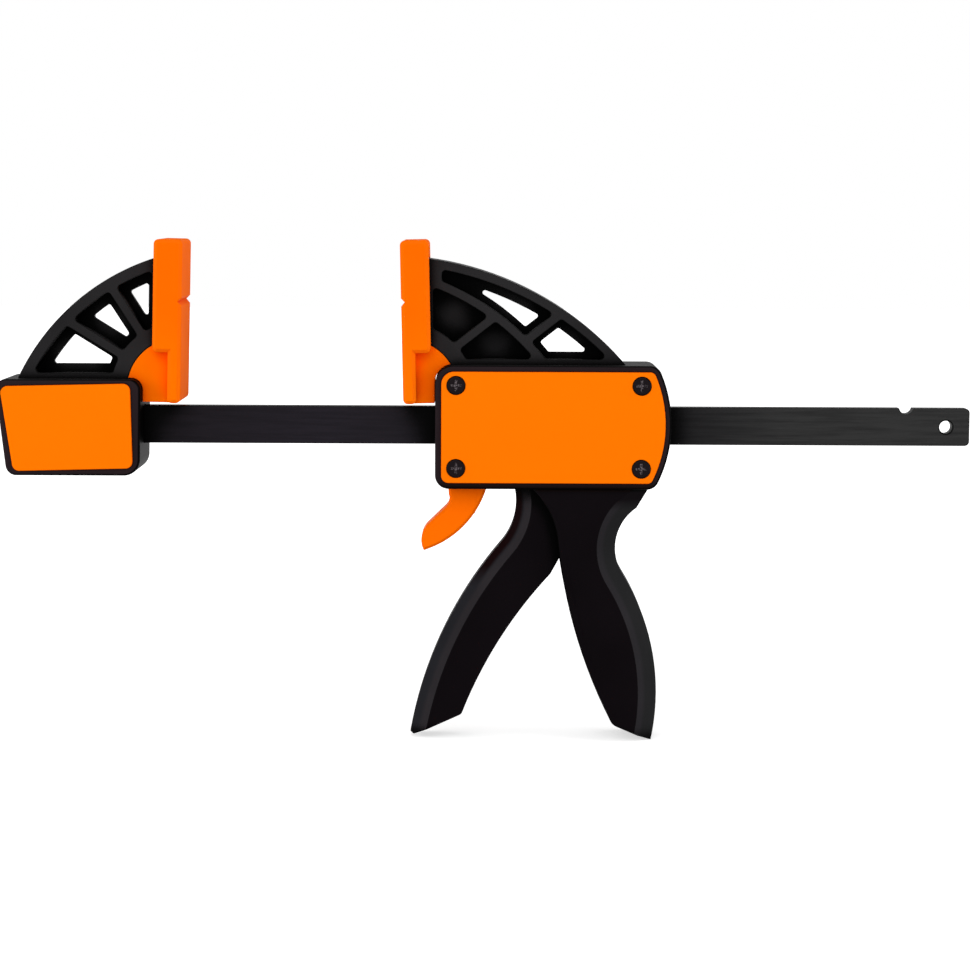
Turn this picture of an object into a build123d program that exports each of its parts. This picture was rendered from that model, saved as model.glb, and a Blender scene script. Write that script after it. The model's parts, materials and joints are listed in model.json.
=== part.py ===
from build123d import *
from math import cos, radians, sin, tan
import os

# Quick release bar clamp, in millimetres.
# X runs along the bar toward its free end, Z runs up toward the jaws, Y runs across the bar.
# The origin is the middle of the hole at the bar's free end.

# Bar: a flat steel strip with the same hole and catch notch at both ends.
bar_length = 354.0
bar_height = 14.0
bar_thickness = 6.0
bar_corner_radius = 1.7
bar_edge_break = 0.4
end_hole_diameter = 4.8
end_hole_chamfer = 0.5
end_hole_inset = 8.8
notch_radius = 2.65
notch_inset = 23.7
notch_rise = 0.5

# Clearances between pieces.
seat_clearance = 0.1
slide_clearance = 0.25
pin_clearance = 0.05

# Jaws: both pads are the same moulding, leaning toward each other at the top.
jaw_opening = 82.5
face_setback = 14.2
toe_in = 1.3
pad_depth = 32.0
pad_bottom = 8.6
pad_top = 68.6
pad_thickness = 10.5
pad_edge_break = 1.3
pad_corner_radius = 1.8
pad_flange = 4.8
pad_block_height = 41.3
pad_groove_height = 46.0
pad_groove_width = 3.0
pad_groove_depth = 1.5
hub_setback = 1.5
hub_height = 13.5
hub_radius = 18.8
hub_rib = 5.6
lug_depth = 20.0
lug_bottom = 8.5

# Webbed arms: full-depth ribs round a thin mid-plane web.
rib_depth = 20.0
web_thickness = 3.0
band_web_rim = 3.5
arm_web_rim = 2.3
fan_web_rim = 3.0
fan_face_web_rim = 2.2
face_rib_seat = 3.0
face_rib_lip = 0.9
face_rib_top = 61.9
foot_rib = 2.0
pocket_corner_radius = 1.4
window_corner_radius = 0.9

# Fixed jaw: a boxed base on the bar's end, with a fan of ribs up to its pad.
base_overhang = 6.9
base_length = 53.9
base_depth = 31.0
base_top = 17.4
base_bottom = -18.2
base_draft = 4.2
base_right_draft = 0.6
base_corner_radius = 4.0
base_foot_radius = 6.0
fan_radius = 85.4
# Where the fan's outer arc meets the base, in from its left, and where it ends,
# in from the gripping face and height.
fan_foot_inset = 8.0
fan_crown = (5.8, 62.9)
fan_band = 4.1
fan_strut = 3.1
fan_strut_angles = (122.7, 148.2)
# Web left along each strut's upper and lower side.
fan_strut_web_rims = ((2.3, 3.3), (3.9, 2.0))

# Covers, set into the rim of each housing.
cover_rim = 2.3
cover_recess = 2.0
cover_thickness = 2.8
cover_edge_break = 0.5
housing_edge_round = 1.0
# Corners of the fixed jaw's cover: in from the base's left, and height.
base_cover_corners = ((2.1, 14.8), (50.1, 15.9), (50.8, -15.4), (6.8, -16.5))
base_cover_radius = 2.6

# Catch that holds the fixed jaw in the bar's notch, pressed from the back.
catch_radius = 2.6
catch_front = 7.5
catch_engagement = 4.0
catch_travel = 4.4
catch_button_radius = 4.5
catch_button_length = 6.0
catch_well_radius = 4.8
catch_well_floor = 7.0
catch_spring_wire = 0.6
catch_spring_turns = 3.5
catch_button_round = 0.8
catch_stroke_clearance = 0.1

# Head: the sliding housing, with the second jaw's arm above and the grip below.
head_setback = 11.5
head_length = 86.9
head_depth = 31.0
head_top = 23.1
head_bottom = -22.6
head_left_radius = 7.0
head_foot_radius = 5.0
head_right_radius = 49.0
head_right_bulge_top = 5.0
head_right_bulge_foot = 5.9
head_right_corner_radius = 4.5
head_wall = 3.0
# Each of the arm's two arcs runs from its crown, right of the head's left wall and height,
# down to the head's top.
arm_radius = 118.1
arm_crown = (-3.3, 62.0)
arm_foot = 70.3
arm_band = 3.1
arm_strut = 3.1
arm_top_rib = 3.3
brace_radius = 92.5
brace_crown = (-0.9, 53.3)
brace_foot = 40.4
brace_strut_angle = 38.0
lower_strut_start = (21.8, 40.7)
upper_strut_start = (32.5, 31.2)

# Screws that close the head.
screw_inset = 7.7
screw_span = 68.3
screw_head_radius = 3.45
screw_head_height = 2.3
screw_sink = 1.9
screw_shank_radius = 1.75
screw_boss_radius = 3.9
screw_row_height = 15.3
screw_middle_height = 0.45
cross_slot_length = 4.2
cross_slot_width = 1.0
cross_slot_depth = 1.3
screw_head_round = 0.6
screw_end_inset = 0.5
nut_across_flats = 6.0
nut_thickness = 2.7

# Grip: the fixed handle, hollow toward the trigger.
handle_depth = 26.0
handle_bevel_width = 7.0
handle_bevel_depth = 5.5
handle_front_round = 1.2
handle_wall = 4.2
handle_back_radius = 85.2
handle_front_radius = 192.0
handle_toe_radius = 4.5
channel_depth = 16.8
channel_floor_depth = 84.0
channel_neck_depth = 33.0
channel_neck_left = 28.2
channel_neck_right = 61.0
# Points of the grip's outline: right of the head's left wall, and down from its underside.
grip_root_front = (36.0, 0.0)
grip_crotch = (45.5, 19.5)
grip_toe = (66.4, 88.7)
grip_heel = (81.0, 94.9)
grip_waist = (69.8, 32.1)
grip_ledge = (74.9, 7.5)
grip_root_back = (78.9, 0.0)

# Trigger, hung above the bar on its pin and forked round the bar.
pivot_along = 49.9
pivot_height = 13.2
pivot_boss_radius = 5.2
trigger_pin_radius = 2.5
trigger_pin_seat = 1.3
trigger_depth = 15.2
trigger_bevel_width = 5.6
trigger_bevel_depth = 4.2
trigger_fork_floor = -11.5
trigger_finger_radius = 152.6
trigger_back_radius = 165.4
trigger_nose_height = -9.5
trigger_nose_drop = 2.5
trigger_nose_rise = 4.0
trigger_nose_lean = 0.8
trigger_hollow_width = 8.8
trigger_hollow_wall = 4.5
trigger_hollow_top = 36.0
trigger_hollow_foot = 80.0
trigger_end_round = 2.0
# Points of the trigger's outline, measured like the grip's.
trigger_root_front = (29.7, 1.4)
trigger_crook_foot = (24.6, 21.0)
trigger_finger_foot = (-9.2, 92.8)
trigger_end_front = (-7.9, 93.7)
trigger_end_back = (10.0, 85.6)
trigger_crotch = (43.0, 32.4)
trigger_neck_back = (46.2, 26.6)
trigger_shoulder = (32.0, -9.0)

# Drive plates that grip the bar, and the spring that returns them.
drive_along = 56.5
drive_plate_thickness = 2.5
drive_plate_width = 18.0
drive_plate_top = 13.4
drive_plate_bottom = -15.4
drive_plate_corner = 2.0
plate_hole_height = 14.6
plate_hole_width = 6.6
drive_spring_radius = 9.2
drive_spring_wire = 1.5
drive_spring_turns = 6
drive_spring_seat = 2.0

# Brake plate and its release lever.
brake_along = 18.0
brake_tilt = 5.5
brake_thickness = 4.0
brake_width = 18.0
brake_hole_height = 14.8
brake_top_gap = 0.3
brake_foot = -19.0
brake_tongue_width = 8.0
brake_tongue_foot = -33.0
brake_spring_height = -14.8
brake_spring_radius = 3.0
brake_spring_wire = 0.7
brake_spring_turns = 4
lever_depth = 13.0
lever_slot_left = 3.4
lever_slot_right = 24.2
lever_slot_overrun = 0.1
# Points of the lever's outline, measured like the grip's.
lever_shin_top = (5.0, 2.8)
lever_shin_foot = (3.9, 7.8)
lever_heel_top = (-2.7, 14.2)
lever_heel_foot = (-4.2, 24.0)
lever_tip = (-2.1, 23.2)
lever_instep_top = (18.9, 1.0)
lever_edge_bevel = 1.0
lever_head_left = 4.6
lever_head_right = 18.8
lever_head_rise = 2.7
divider_along = 25.5
divider_thickness = 2.5

# Places that follow from the sizes above.
bar_end = end_hole_inset
bar_start = bar_end - bar_length
bar_half_height = bar_height / 2
bar_half_thickness = bar_thickness / 2
notch_height = bar_half_height + notch_rise
fixed_notch = bar_start + notch_inset
free_notch = bar_end - notch_inset
base_left = bar_start - base_overhang
base_right = base_left + base_length
fixed_face = base_right + face_setback
moving_face = fixed_face + jaw_opening
head_left = moving_face + head_setback
head_right = head_left + head_length
head_middle_height = (head_top + head_bottom) / 2
pad_half = pad_depth / 2
web_half = web_thickness / 2
rib_half = rib_depth / 2
pivot = (head_left + pivot_along, pivot_height)
cover_back = head_depth / 2 - cover_recess
cavity_back = head_depth / 2 - head_wall


def jaw_plane(face, way):
    # A jaw pad's own plane: x goes back from the gripping face, y goes up along it.
    lean = radians(toe_in)
    return Plane(
        origin=(face, 0, 0),
        x_dir=(way * cos(lean), 0, sin(lean)),
        z_dir=(0, -way, 0),
    )


fixed_plane = jaw_plane(fixed_face, -1)
moving_plane = jaw_plane(moving_face, 1)


def on_jaw(plane, back, height):
    # A point of a jaw plane, as X and Z.
    point = plane.from_local_coords((back, height, 0))
    return point.X, point.Z


fixed_hub = on_jaw(fixed_plane, hub_setback, hub_height)
moving_hub = on_jaw(moving_plane, hub_setback, hub_height)
hub_reach = hub_radius + hub_rib


def below(point):
    # A point below the head, given right of its left wall and down from its underside.
    return head_left + point[0], head_bottom - point[1]


def span(low, high):
    # The middle and the length of a stretch.
    return (low + high) / 2, high - low


def corner_at(outline, point):
    # The outline's corner nearest to a point.
    return outline.vertices().sort_by_distance(point)[0]


def arc_centre(start, end, radius):
    # Centre of an arc that bulges to the left of the way from its start to its end.
    with BuildLine():
        arc = RadiusArc(start, end, radius)
    return arc.arc_center


def arcs_of(builder, *radii):
    # The circular edges that have one of the given radii.
    arcs = builder.edges().filter_by(GeomType.CIRCLE)
    return [arc for arc in arcs if any(abs(arc.radius - radius) < 0.01 for radius in radii)]


def round_sides(housing):
    # Rounds the rims of a housing's two outermost side faces.
    for side in (0, -1):
        fillet(housing.faces().sort_by(Axis.Y)[side].edges(), housing_edge_round)


def bevel_sides(grip, width, depth, *radii):
    # Bevels a grip's arcs of the given radii, a width on each side face by a depth.
    for side in (0, -1):
        flat = grip.faces().sort_by(Axis.Y)[side]
        arcs = [arc for arc in arcs_of(grip, *radii) if arc in flat.edges()]
        chamfer(arcs, width, depth, reference=flat)


# ---- Bar ----

with BuildPart() as bar:
    with BuildSketch(Plane.XZ):
        middle, length = span(bar_start, bar_end)
        with Locations((middle, 0)):
            RectangleRounded(length, bar_height, bar_corner_radius)
        with Locations((bar_start + end_hole_inset, 0), (0, 0)):
            Circle(end_hole_diameter / 2, mode=Mode.SUBTRACT)
        with Locations((fixed_notch, notch_height), (free_notch, notch_height)):
            Circle(notch_radius, mode=Mode.SUBTRACT)
    extrude(amount=bar_half_thickness, both=True)
    flats = bar.faces().filter_by(Axis.Y)
    rims = flats.edges().filter_by(GeomType.CIRCLE)
    holes = [rim for rim in rims if rim.is_closed]
    chamfer(holes, end_hole_chamfer)
    long_edges = bar.edges().filter_by(Axis.X).filter_by(lambda edge: edge.length > bar_length / 4)
    fillet(long_edges, bar_edge_break)
bar.part.label = "bar"


# ---- Fixed jaw ----

with BuildSketch() as base_outline:
    with BuildLine():
        Polyline(
            (base_left, base_top),
            (base_right, base_top),
            (base_right - base_right_draft, base_bottom),
            (base_left + base_draft, base_bottom),
            close=True,
        )
    make_face()
    fillet(base_outline.vertices().group_by(Axis.Y)[-1], base_corner_radius)
    fillet(corner_at(base_outline, (base_left, base_bottom)), base_corner_radius)
    fillet(corner_at(base_outline, (base_right, base_bottom)), base_foot_radius)

with BuildSketch() as base_cover_outline:
    with BuildLine():
        Polyline(*[(base_left + inset, height) for inset, height in base_cover_corners], close=True)
    make_face()
    fillet(base_cover_outline.vertices(), base_cover_radius)

fan_centre = arc_centre(
    (base_left + fan_foot_inset, base_top),
    (fixed_face - fan_crown[0], fan_crown[1]),
    fan_radius,
)
rib_face_back = pad_thickness - face_rib_seat


def fan_cells(band_inset, face_inset, inset, strut_insets, corner_radius):
    # The spaces between the fan's ribs, drawn smaller by the insets.
    with BuildSketch() as cells:
        with Locations(fan_centre):
            Circle(fan_radius - fan_band - band_inset)
        foot = base_top + foot_rib + inset
        behind_pad = pad_thickness + face_rib_lip + face_inset
        with BuildLine():
            Polyline(
                (base_left, foot),
                (on_jaw(fixed_plane, behind_pad, foot)[0], foot),
                on_jaw(fixed_plane, behind_pad, fan_radius),
                (base_left, fan_radius),
                close=True,
            )
        make_face(mode=Mode.INTERSECT)
        with Locations(fixed_hub):
            Circle(hub_reach + inset, mode=Mode.SUBTRACT)
        for angle, (above, under) in zip(fan_strut_angles, strut_insets):
            with Locations(Location((fixed_hub[0], fixed_hub[1], 0), angle)):
                with Locations((0, -fan_strut / 2 - above)):
                    Rectangle(
                        fan_radius,
                        above + fan_strut + under,
                        align=(Align.MIN, Align.MIN),
                        mode=Mode.SUBTRACT,
                    )
        fillet(cells.vertices(), corner_radius)
    return cells.sketch


fan_pockets = fan_cells(0, 0, 0, ((0, 0), (0, 0)), pocket_corner_radius)
fan_windows = fan_cells(
    band_web_rim, fan_face_web_rim, fan_web_rim, fan_strut_web_rims, window_corner_radius
)

with BuildSketch() as fan_outline:
    with Locations(fan_centre):
        Circle(fan_radius)
    with BuildLine():
        Polyline(
            (base_left, base_top - base_corner_radius),
            on_jaw(fixed_plane, rib_face_back, base_top - base_corner_radius),
            on_jaw(fixed_plane, rib_face_back, face_rib_top),
            (base_left, face_rib_top),
            close=True,
        )
    make_face(mode=Mode.INTERSECT)
    with Locations(fixed_hub):
        Circle(hub_radius, mode=Mode.SUBTRACT)

with BuildPart() as fixed_jaw_body:
    with BuildSketch(Plane.XZ):
        add(fan_outline.sketch)
    extrude(amount=rib_half, both=True)
    with BuildSketch(Plane.XZ.offset(web_half), Plane.XZ.offset(-rib_half)):
        add(fan_pockets)
    extrude(amount=rib_half - web_half, mode=Mode.SUBTRACT)
    with BuildSketch(Plane.XZ):
        add(fan_windows)
    extrude(amount=web_thickness, both=True, mode=Mode.SUBTRACT)
    with BuildSketch(Plane.XZ):
        add(base_outline.sketch)
    extrude(amount=base_depth / 2, both=True)
    round_sides(fixed_jaw_body)
    with BuildSketch(Plane.XZ.offset(base_depth / 2 - cover_recess)):
        add(base_cover_outline.sketch)
        offset(amount=seat_clearance)
    extrude(amount=cover_recess, mode=Mode.SUBTRACT)
    # The bar's socket, open to the right.
    with BuildSketch(Plane.YZ.offset(bar_start - seat_clearance)):
        Rectangle(bar_thickness + 2 * seat_clearance, bar_height + 2 * seat_clearance)
    extrude(amount=base_length, mode=Mode.SUBTRACT)
    # The catch's bore and the well round its button.
    with BuildSketch(Plane.XZ.offset(catch_front + catch_travel + seat_clearance)):
        with Locations((fixed_notch, notch_height)):
            Circle(catch_radius + pin_clearance)
    extrude(amount=-base_depth, mode=Mode.SUBTRACT)
    with BuildSketch(Plane.XZ.offset(-catch_well_floor)):
        with Locations((fixed_notch, notch_height)):
            Circle(catch_well_radius)
    extrude(amount=-base_depth, mode=Mode.SUBTRACT)
fixed_jaw_body.part.label = "fixed_jaw_body"

with BuildPart() as fixed_jaw_cover:
    with BuildSketch(Plane.XZ.offset(base_depth / 2 - cover_recess)):
        add(base_cover_outline.sketch)
    extrude(amount=cover_thickness)
    fillet(fixed_jaw_cover.faces().sort_by(Axis.Y)[0].edges(), cover_edge_break)
fixed_jaw_cover.part.label = "fixed_jaw_cover"

catch_back = base_depth / 2 + catch_travel + catch_stroke_clearance

with BuildPart() as jaw_lock_plunger:
    with BuildSketch(Plane.XZ.offset(catch_front)):
        with Locations((fixed_notch, notch_height)):
            Circle(catch_radius)
    extrude(amount=-(catch_front + catch_back - catch_button_length))
    # Flat on the underside, which frees the bar when it is pressed in front of the notch.
    with BuildSketch(Plane.XZ.offset(bar_half_thickness - catch_engagement)):
        with Locations((fixed_notch, bar_half_height + slide_clearance)):
            Rectangle(2 * notch_radius, 2 * notch_radius, align=(Align.CENTER, Align.MAX))
    extrude(amount=-(catch_well_floor), mode=Mode.SUBTRACT)
    with BuildSketch(Plane.XZ.offset(catch_button_length - catch_back)):
        with Locations((fixed_notch, notch_height)):
            Circle(catch_button_radius)
    extrude(amount=-catch_button_length)
    fillet(jaw_lock_plunger.faces().sort_by(Axis.Y)[-1].edges(), catch_button_round)
jaw_lock_plunger.part.label = "jaw_lock_plunger"


def coil_spring(seat, length, radius, wire, turns):
    # A wound wire between two seats, standing on the seat plane.
    rise = length - wire - 2 * seat_clearance
    first = seat.offset(wire / 2 + seat_clearance)
    with BuildPart() as spring:
        with BuildLine() as winding:
            Helix(rise / turns, rise, radius, center=first.origin, direction=first.z_dir)
        with BuildSketch(Plane(origin=winding.line @ 0, z_dir=winding.line % 0)):
            Circle(wire / 2)
        sweep(is_frenet=True)
    return spring.part


catch_spring_length = catch_back - catch_button_length - catch_well_floor
jaw_lock_spring = coil_spring(
    Plane(origin=(fixed_notch, catch_well_floor, notch_height), z_dir=(0, 1, 0)),
    catch_spring_length,
    (catch_radius + catch_well_radius) / 2,
    catch_spring_wire,
    catch_spring_turns,
)
jaw_lock_spring.label = "jaw_lock_spring"


# ---- Head ----

with BuildSketch() as head_outline:
    with BuildLine():
        # The right end bulges between two short corners.
        bulge = RadiusArc(
            (head_right - head_right_bulge_top, head_top),
            (head_right - head_right_bulge_foot, head_bottom),
            head_right_radius,
        )
        Polyline(bulge @ 1, (head_left, head_bottom), (head_left, head_top), bulge @ 0)
    make_face()
    fillet(corner_at(head_outline, (head_left, head_bottom)), head_foot_radius)
    fillet(corner_at(head_outline, (head_left, head_top)), head_left_radius)
    fillet(corner_at(head_outline, (head_right, head_bottom)), head_right_corner_radius)
    fillet(corner_at(head_outline, (head_right, head_top)), head_right_corner_radius)

with BuildSketch() as front_cover_outline:
    add(head_outline.sketch)
    offset(amount=-cover_rim)

screw_left = head_left + screw_inset
screw_points = [
    (x, z)
    for x in (screw_left, screw_left + screw_span)
    for z in (screw_middle_height - screw_row_height, screw_middle_height + screw_row_height)
]

def head_arc_centre(crown, foot, radius):
    # Centre of an arc that comes down to the head's top.
    return arc_centre((head_left + crown[0], crown[1]), (head_left + foot, head_top), radius)


arm_centre = head_arc_centre(arm_crown, arm_foot, arm_radius)
brace_centre = head_arc_centre(brace_crown, brace_foot, brace_radius)


def arm_field(left, band_inset, inset):
    # The area inside the arm's outer band, above its foot and right of a line.
    with Locations(arm_centre):
        Circle(arm_radius - arm_band - band_inset)
    foot = head_top + foot_rib + inset
    with Locations((left + inset, foot)):
        Rectangle(head_length, arm_radius, align=(Align.MIN, Align.MIN), mode=Mode.INTERSECT)


def strut(start, angle, inset):
    # A straight rib that leaves the curved brace from a point inside it.
    along, height = start
    with Locations(Location((head_left + along, height, 0), angle)):
        Rectangle(
            head_length,
            arm_strut + 2 * inset,
            align=(Align.MIN, Align.CENTER),
            mode=Mode.SUBTRACT,
        )


def outer_cells(band_inset, inset, corner_radius):
    # The two spaces over the curved brace, which have windows.
    with BuildSketch() as cells:
        arm_field(moving_face + pad_thickness + arm_top_rib, band_inset, inset)
        with Locations(brace_centre):
            Circle(brace_radius + arm_strut / 2 + inset, mode=Mode.SUBTRACT)
        strut(upper_strut_start, brace_strut_angle, inset)
        fillet(cells.vertices(), corner_radius)
    return cells.sketch


def inner_cells(corner_radius):
    # The two closed spaces under the curved brace.
    with BuildSketch() as cells:
        arm_field(moving_face + pad_thickness, 0, 0)
        with Locations(brace_centre):
            Circle(brace_radius - arm_strut / 2, mode=Mode.INTERSECT)
        with Locations(moving_hub):
            Circle(hub_reach, mode=Mode.SUBTRACT)
        strut(lower_strut_start, brace_strut_angle + 180, 0)
        fillet(cells.vertices(), corner_radius)
    return cells.sketch


outer_pockets = outer_cells(0, 0, pocket_corner_radius)
outer_windows = outer_cells(band_web_rim, arm_web_rim, window_corner_radius)
inner_pockets = inner_cells(pocket_corner_radius)

with BuildSketch() as arm_outline:
    with Locations(arm_centre):
        Circle(arm_radius)
    with BuildLine():
        Polyline(
            on_jaw(moving_plane, rib_face_back, head_top - head_wall),
            (head_right, head_top - head_wall),
            (head_right, face_rib_top),
            on_jaw(moving_plane, rib_face_back, face_rib_top),
            close=True,
        )
    make_face(mode=Mode.INTERSECT)
    with Locations(moving_hub):
        Circle(hub_radius, mode=Mode.SUBTRACT)

# Outline of the grip, seen from the side.
with BuildSketch() as handle_outline:
    with BuildLine():
        front = RadiusArc(below(grip_crotch), below(grip_toe), -handle_front_radius)
        throat = TangentArc(front @ 0, below(grip_root_front), tangent=(front % 0) * -1)
        Line(front @ 1, below(grip_heel))
        back = RadiusArc(below(grip_heel), below(grip_waist), -handle_back_radius)
        waist = TangentArc(back @ 1, below(grip_ledge), tangent=back % 1)
        # The root reaches up into the head's floor.
        root_top = head_bottom + head_wall
        Polyline(
            waist @ 1,
            below(grip_root_back),
            below((grip_root_back[0], -head_wall)),
            ((throat @ 1).X, root_top),
            throat @ 1,
        )
    make_face()
    fillet(corner_at(handle_outline, below(grip_toe)), handle_toe_radius)

# The hollow that the trigger swings into.
with BuildSketch() as channel_outline:
    with Locations(back.arc_center):
        Circle(handle_back_radius - handle_wall)
    with Locations(below((channel_neck_left, channel_floor_depth))):
        Rectangle(
            head_length,
            channel_floor_depth - channel_neck_depth,
            align=(Align.MIN, Align.MIN),
            mode=Mode.INTERSECT,
        )
    with Locations(below((channel_neck_left, channel_neck_depth))):
        Rectangle(
            channel_neck_right - channel_neck_left,
            channel_neck_depth + head_wall + seat_clearance,
            align=(Align.MIN, Align.MIN),
        )

with BuildPart() as head_body:
    with BuildSketch(Plane.XZ):
        add(arm_outline.sketch)
    extrude(amount=rib_half, both=True)
    with BuildSketch(Plane.XZ.offset(web_half), Plane.XZ.offset(-rib_half)):
        add(outer_pockets)
        add(inner_pockets)
    extrude(amount=rib_half - web_half, mode=Mode.SUBTRACT)
    with BuildSketch(Plane.XZ):
        add(outer_windows)
    extrude(amount=web_thickness, both=True, mode=Mode.SUBTRACT)
    with BuildSketch(Plane.XZ):
        add(handle_outline.sketch)
    extrude(amount=handle_depth / 2, both=True)
    bevel_sides(
        head_body, handle_bevel_width, handle_bevel_depth, handle_back_radius, waist.radius
    )
    fillet(arcs_of(head_body, handle_front_radius, throat.radius), handle_front_round)
    with BuildSketch(Plane.XZ):
        add(head_outline.sketch)
    extrude(amount=head_depth / 2, both=True)
    round_sides(head_body)
    # Recess for the cover, then the cavity behind it with its screw bosses and divider.
    with BuildSketch(Plane.XZ.offset(cover_back)):
        add(front_cover_outline.sketch)
        offset(amount=seat_clearance)
    extrude(amount=cover_recess, mode=Mode.SUBTRACT)
    with BuildSketch(Plane.XZ.offset(cover_back)):
        add(head_outline.sketch)
        offset(amount=-head_wall)
        with Locations(*screw_points):
            Circle(screw_boss_radius, mode=Mode.SUBTRACT)
        with Locations((head_left + divider_along, head_middle_height)):
            Rectangle(divider_thickness, head_top - head_bottom, mode=Mode.SUBTRACT)
    extrude(amount=-(cover_back + cavity_back), mode=Mode.SUBTRACT)
    # The bar's way through both end walls and the divider.
    with BuildSketch(Plane.YZ.offset(head_left - head_wall)):
        Rectangle(bar_thickness + 2 * slide_clearance, bar_height + 2 * slide_clearance)
    extrude(amount=head_length + 2 * head_wall, mode=Mode.SUBTRACT)
    # Hollow of the grip, and the slot in the floor for the trigger.
    with BuildSketch(Plane.XZ):
        add(channel_outline.sketch)
    extrude(amount=channel_depth / 2, both=True, mode=Mode.SUBTRACT)
    # Slot in the floor for the release lever.
    with BuildSketch(Plane.XY.offset(head_bottom - lever_slot_overrun)):
        slot_middle, slot_length = span(head_left + lever_slot_left, head_left + lever_slot_right)
        with Locations((slot_middle, 0)):
            Rectangle(slot_length, lever_depth + 2 * slide_clearance)
    extrude(amount=head_wall + 2 * lever_slot_overrun, mode=Mode.SUBTRACT)
    # Screw holes, nut pockets in the back and the pin's blind hole.
    with BuildSketch(Plane.XZ.offset(-head_depth / 2)):
        with Locations(*screw_points):
            Circle(screw_shank_radius + seat_clearance)
    extrude(amount=head_depth, mode=Mode.SUBTRACT)
    with BuildSketch(Plane.XZ.offset(-head_depth / 2)):
        with Locations(*screw_points):
            RegularPolygon(nut_across_flats / 2 + seat_clearance, 6, major_radius=False)
    extrude(amount=nut_thickness, mode=Mode.SUBTRACT)
    with BuildSketch(Plane.XZ.offset(-cavity_back)):
        with Locations(pivot):
            Circle(trigger_pin_radius)
    extrude(amount=-trigger_pin_seat, mode=Mode.SUBTRACT)
head_body.part.label = "head_body"

with BuildPart() as front_cover:
    with BuildSketch(Plane.XZ.offset(cover_back)):
        add(front_cover_outline.sketch)
    extrude(amount=cover_thickness)
    fillet(front_cover.faces().sort_by(Axis.Y)[0].edges(), cover_edge_break)
    with BuildSketch(Plane.XZ.offset(cover_back)):
        with Locations(*screw_points):
            Circle(screw_shank_radius + seat_clearance)
    extrude(amount=cover_thickness, mode=Mode.SUBTRACT)
    with BuildSketch(Plane.XZ.offset(cover_back + cover_thickness)):
        with Locations(*screw_points):
            Circle(screw_head_radius + seat_clearance)
    extrude(amount=-screw_sink, mode=Mode.SUBTRACT)
    with BuildSketch(Plane.XZ.offset(cover_back)):
        with Locations(pivot):
            Circle(trigger_pin_radius)
    extrude(amount=trigger_pin_seat, mode=Mode.SUBTRACT)
front_cover.part.label = "front_cover"

screw_seat = cover_back + cover_thickness - screw_sink
nut_front = head_depth / 2 - nut_thickness

with BuildPart() as cover_screws:
    with BuildSketch(Plane.XZ.offset(screw_seat)):
        with Locations(*screw_points):
            Circle(screw_head_radius)
    extrude(amount=screw_head_height)
    fillet(cover_screws.faces().filter_by(Axis.Y).group_by(Axis.Y)[0].edges(), screw_head_round)
    with BuildSketch(Plane.XZ.offset(screw_seat)):
        with Locations(*screw_points):
            Circle(screw_shank_radius)
    extrude(amount=-(screw_seat + head_depth / 2 - screw_end_inset))
    with BuildSketch(Plane.XZ.offset(screw_seat + screw_head_height)):
        with Locations(*screw_points):
            Rectangle(cross_slot_length, cross_slot_width)
            Rectangle(cross_slot_width, cross_slot_length)
    extrude(amount=-cross_slot_depth, mode=Mode.SUBTRACT)
cover_screws.part.label = "cover_screws"

with BuildPart() as cover_nuts:
    with BuildSketch(Plane.XZ.offset(-nut_front)):
        with Locations(*screw_points):
            RegularPolygon(nut_across_flats / 2, 6, major_radius=False)
            Circle(screw_shank_radius + pin_clearance, mode=Mode.SUBTRACT)
    extrude(amount=-(nut_thickness - seat_clearance))
cover_nuts.part.label = "cover_nuts"


# ---- Jaw pads ----


def jaw_pad(plane, hub, housing):
    # Soft cap over an arm's face rib, with a lug that fills the hub beside the web.
    with BuildPart() as pad:
        with BuildSketch(plane) as pad_outline:
            step = (pad_flange, pad_top - pad_block_height)
            with BuildLine():
                Polyline(
                    (0, pad_bottom),
                    (0, pad_top),
                    (pad_thickness, pad_top),
                    (pad_thickness, step[1]),
                    step,
                    (pad_flange, pad_bottom),
                    close=True,
                )
            make_face()
            fillet(pad_outline.vertices().sort_by_distance(step)[1:], pad_corner_radius)
        extrude(amount=pad_half, both=True)
        chamfer(pad.faces().filter_by(Axis.Y).edges(), pad_edge_break)
        # Seat of the arm's face rib, open to the back above the hub.
        with BuildSketch(plane):
            with Locations((rib_face_back - seat_clearance, hub_height)):
                Rectangle(
                    pad_thickness,
                    face_rib_top - hub_height + seat_clearance,
                    align=(Align.MIN, Align.MIN),
                )
            with Locations((hub_setback, hub_height)):
                Circle(hub_radius - seat_clearance, mode=Mode.SUBTRACT)
        extrude(amount=rib_half + seat_clearance, both=True, mode=Mode.SUBTRACT)
        with BuildSketch(Plane.XZ):
            with Locations(hub):
                Circle(hub_radius - slide_clearance)
            with BuildLine():
                Polyline(
                    on_jaw(plane, pad_flange / 2, lug_bottom),
                    on_jaw(plane, hub_reach, lug_bottom),
                    on_jaw(plane, hub_reach, hub_height + hub_radius),
                    on_jaw(plane, pad_flange / 2, hub_height + hub_radius),
                    close=True,
                )
            make_face(mode=Mode.INTERSECT)
            add(housing, mode=Mode.SUBTRACT)
        extrude(amount=lug_depth / 2, both=True)
        # Groove across the gripping face.
        with BuildSketch(plane):
            with BuildLine():
                Polyline(
                    (0, pad_groove_height - pad_groove_width / 2),
                    (0, pad_groove_height + pad_groove_width / 2),
                    (pad_groove_depth, pad_groove_height),
                    close=True,
                )
            make_face()
        extrude(amount=pad_half, both=True, mode=Mode.SUBTRACT)
    return pad.part


def grown(outline, amount):
    with BuildSketch() as larger:
        add(outline)
        offset(amount=amount)
    return larger.sketch


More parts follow.
